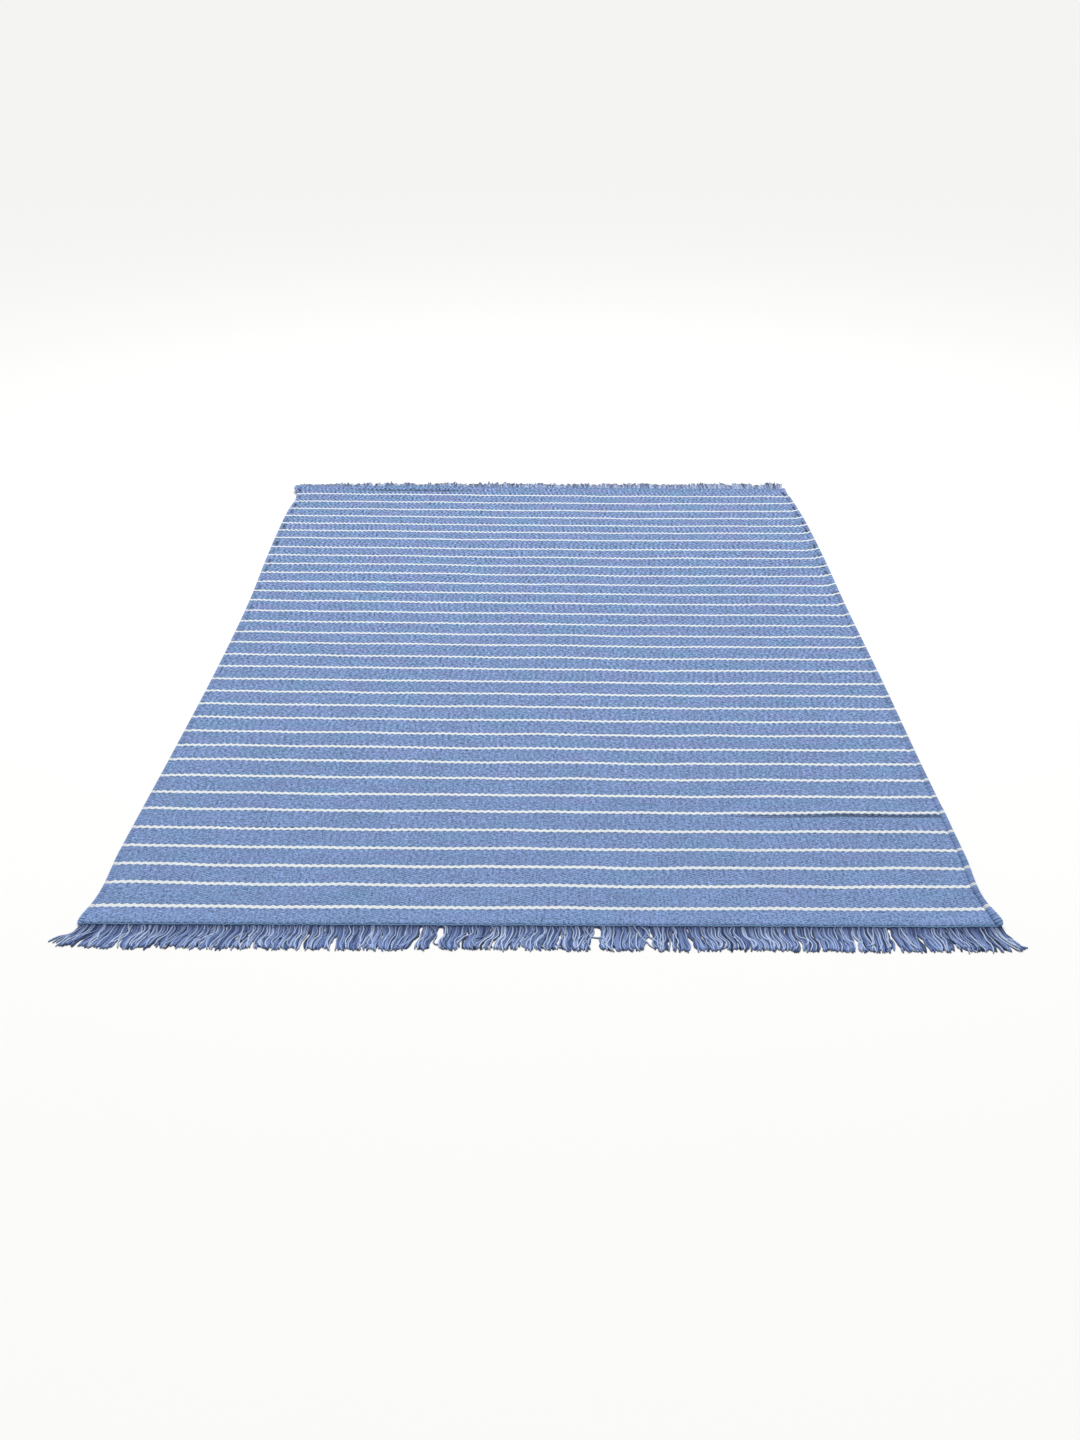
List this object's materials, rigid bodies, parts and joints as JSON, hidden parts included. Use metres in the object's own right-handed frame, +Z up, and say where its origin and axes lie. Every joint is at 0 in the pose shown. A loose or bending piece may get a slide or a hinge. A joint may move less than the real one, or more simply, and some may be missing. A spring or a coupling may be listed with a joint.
{
  "type": "rug",
  "caption": "Flat-woven cotton rug with narrow pale stripes across a blue ground, corded selvedges and a fringe of warp ends at both ends.",
  "frame": {"origin": "middle of the cloth's underside, where it rests on the floor", "axes": "+X across the rug to the right as seen from its near end, +Y along the rug towards its far end, +Z up"},
  "size_m": [1.448, 2.1106, 0.0152],
  "materials": {
    "woven_cotton": "matt weft-faced weave, blue with narrow off-white stripes",
    "fringe_yarn": "matt twisted cotton yarn, blue"
  },
  "bodies": {
    "root": {"woven_field": "woven_cotton", "fringe_near": "fringe_yarn", "fringe_far": "fringe_yarn"}
  },
  "joints": []
}
